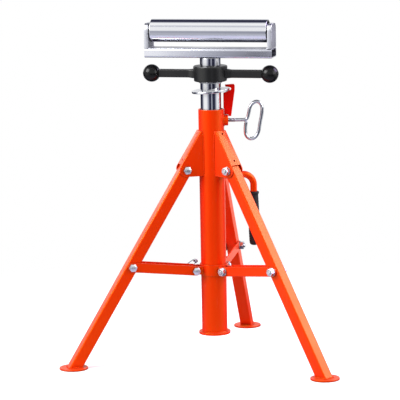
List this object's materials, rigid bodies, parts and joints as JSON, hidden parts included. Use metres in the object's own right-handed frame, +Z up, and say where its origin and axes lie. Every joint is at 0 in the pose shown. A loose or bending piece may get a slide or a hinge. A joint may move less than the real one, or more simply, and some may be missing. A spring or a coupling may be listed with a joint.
{
  "type": "roller stand",
  "caption": "Folding tripod pipe stand with a screw jack, a sliding post with a tilting lock ring, and a swivelling chrome roller head that carries pipe as it turns or feeds.",
  "frame": {"origin": "on the floor under the middle of the stand's outer box; the column's axis is upright at x = 0, y = -0.0867 m", "axes": "+Z up, +X along the roller to the right seen from the front, +Y towards the rear leg"},
  "size_m": [0.668, 0.5876, 0.8081],
  "materials": {
    "orange_powder_coat": "satin orange powder coat",
    "red_paint": "gloss red paint",
    "chrome_plate": "bright chrome plate",
    "zinc_plate": "bright zinc plate",
    "black_cast_iron": "black satin coating",
    "black_knob_plastic": "gloss",
    "black_rubber": "matte",
    "bright_steel": "turned, bright"
  },
  "bodies": {
    "column": {"column_tube": "orange_powder_coat", "column_base_disc": "orange_powder_coat", "leg_bracket_left": "orange_powder_coat", "leg_bracket_right": "orange_powder_coat", "leg_bracket_rear": "orange_powder_coat", "leg_pivot_bolt_left": "zinc_plate", "leg_pivot_bolt_right": "zinc_plate", "leg_pivot_bolt_rear": "zinc_plate", "leg_pivot_nut_left": "zinc_plate", "leg_pivot_nut_right": "zinc_plate", "leg_pivot_nut_rear": "zinc_plate", "clamp_boss": "orange_powder_coat", "ring_hook": "red_paint", "carry_handle": "orange_powder_coat", "handle_grip": "black_rubber"},
    "leg_left": {"leg_tube_left": "orange_powder_coat", "foot_disc_left": "orange_powder_coat"},
    "leg_right": {"leg_tube_right": "orange_powder_coat", "foot_disc_right": "orange_powder_coat"},
    "leg_rear": {"leg_tube_rear": "orange_powder_coat", "foot_disc_rear": "orange_powder_coat"},
    "collar": {"slide_collar": "orange_powder_coat", "collar_bolt_left": "zinc_plate", "collar_bolt_right": "zinc_plate", "collar_bolt_rear": "zinc_plate", "collar_nut_left": "zinc_plate", "collar_nut_right": "zinc_plate", "collar_nut_rear": "zinc_plate"},
    "strut_arm_left": {"strut_left": "orange_powder_coat", "strut_bolt_head_left": "zinc_plate", "strut_bolt_nut_left": "zinc_plate"},
    "strut_arm_right": {"strut_right": "orange_powder_coat", "strut_bolt_head_right": "zinc_plate", "strut_bolt_nut_right": "zinc_plate"},
    "strut_arm_rear": {"strut_rear": "orange_powder_coat", "strut_bolt_head_rear": "zinc_plate", "strut_bolt_nut_rear": "zinc_plate"},
    "pin": {"lock_pin": "zinc_plate", "lock_pin_clip": "bright_steel"},
    "post": {"inner_post": "chrome_plate", "thrust_washer": "bright_steel"},
    "nut": {"jack_nut": "black_cast_iron", "ball_knob_left": "black_knob_plastic", "ball_knob_right": "black_knob_plastic"},
    "screw": {"jack_screw": "bright_steel", "head_socket": "chrome_plate"},
    "head": {"head_base": "chrome_plate", "head_shank": "chrome_plate", "roller_bracket_left": "chrome_plate", "roller_bracket_right": "chrome_plate", "roller_axle": "bright_steel"},
    "roller": {"roller_tube": "chrome_plate", "roller_end_cap_left": "bright_steel", "roller_end_cap_right": "bright_steel"},
    "ring": {"lock_ring": "chrome_plate"},
    "clamp_end": {"clamp_tip": "bright_steel"},
    "clamp": {"clamp_screw": "chrome_plate"}
  },
  "joints": [
    {"name": "leg_left_fold", "type": "hinge", "parent": "column", "child": "leg_left", "pos_m": [-0.05655, -0.11931, 0.4573], "axis": [0.5, -0.866, 0], "range_deg": [0, 27.6]},
    {"name": "leg_right_fold", "type": "hinge", "parent": "column", "child": "leg_right", "pos_m": [0.05655, -0.11931, 0.4573], "axis": [0.5, 0.866, 0], "range_deg": [0, 27.6]},
    {"name": "leg_rear_fold", "type": "hinge", "parent": "column", "child": "leg_rear", "pos_m": [0, -0.02136, 0.4573], "axis": [-1, 0, 0], "range_deg": [0, 27.6]},
    {"name": "collar_slide", "type": "slide", "parent": "column", "child": "collar", "axis": [0, 0, 1], "range_m": [0, 0.13256]},
    {"name": "strut_left_swing", "type": "hinge", "parent": "collar", "child": "strut_arm_left", "pos_m": [-0.04122, -0.11046, 0.2155], "axis": [0.5, -0.866, 0], "range_deg": [0, 83.7]},
    {"name": "strut_right_swing", "type": "hinge", "parent": "collar", "child": "strut_arm_right", "pos_m": [0.04122, -0.11046, 0.2155], "axis": [0.5, 0.866, 0], "range_deg": [0, 83.7]},
    {"name": "strut_rear_swing", "type": "hinge", "parent": "collar", "child": "strut_arm_rear", "pos_m": [0, -0.03906, 0.2155], "axis": [-1, 0, 0], "range_deg": [0, 83.7]},
    {"name": "lock_pin_pull", "type": "slide", "parent": "collar", "child": "pin", "axis": [-0.866, 0.5, 0], "range_m": [0, 0.008], "stiffness_N_per_m": 300, "springref_m": -0.01},
    {"name": "post_slide", "type": "slide", "parent": "column", "child": "post", "axis": [0, 0, 1], "range_m": [0, 0.38]},
    {"name": "jack_nut_turn", "type": "hinge", "parent": "post", "child": "nut", "pos_m": [0, -0.08666, 0.6812], "axis": [0, 0, -1], "range_deg": [0, 6000]},
    {"name": "jack_screw_rise", "type": "slide", "parent": "post", "child": "screw", "axis": [0, 0, 1], "range_m": [0, 0.1002]},
    {"name": "head_swivel", "type": "hinge", "parent": "screw", "child": "head", "pos_m": [0, -0.08666, 0.712], "axis": [0, 0, 1], "continuous": true},
    {"name": "roller_spin", "type": "hinge", "parent": "head", "child": "roller", "pos_m": [0, -0.08666, 0.7812], "axis": [1, 0, 0], "continuous": true},
    {"name": "lock_ring_tilt", "type": "hinge", "parent": "column", "child": "ring", "pos_m": [0.04154, -0.07553, 0.6436], "axis": [-0.2588, 0.9659, 0], "range_deg": [0, 4.2]},
    {"name": "clamp_tip_travel", "type": "slide", "parent": "column", "child": "clamp_end", "axis": [0.9659, 0.2588, 0], "range_m": [0, 0.00755]},
    {"name": "clamp_screw_turn", "type": "hinge", "parent": "clamp_end", "child": "clamp", "pos_m": [0.05796, -0.07113, 0.57], "axis": [0.9659, 0.2588, 0], "range_deg": [0, 1080]}
  ],
  "couplings": [
    {"joint": "leg_right_fold", "follows": "leg_left_fold", "ratio": 1},
    {"joint": "leg_rear_fold", "follows": "leg_left_fold", "ratio": 1},
    {"joint": "collar_slide", "follows": "leg_left_fold", "m_per_rad": 0.27509},
    {"joint": "strut_left_swing", "follows": "leg_left_fold", "ratio": 3.0302},
    {"joint": "strut_right_swing", "follows": "leg_left_fold", "ratio": 3.0302},
    {"joint": "strut_rear_swing", "follows": "leg_left_fold", "ratio": 3.0302},
    {"joint": "jack_screw_rise", "follows": "jack_nut_turn", "m_per_rad": 0.00095493},
    {"joint": "clamp_tip_travel", "follows": "clamp_screw_turn", "m_per_rad": 0.00039789}
  ]
}
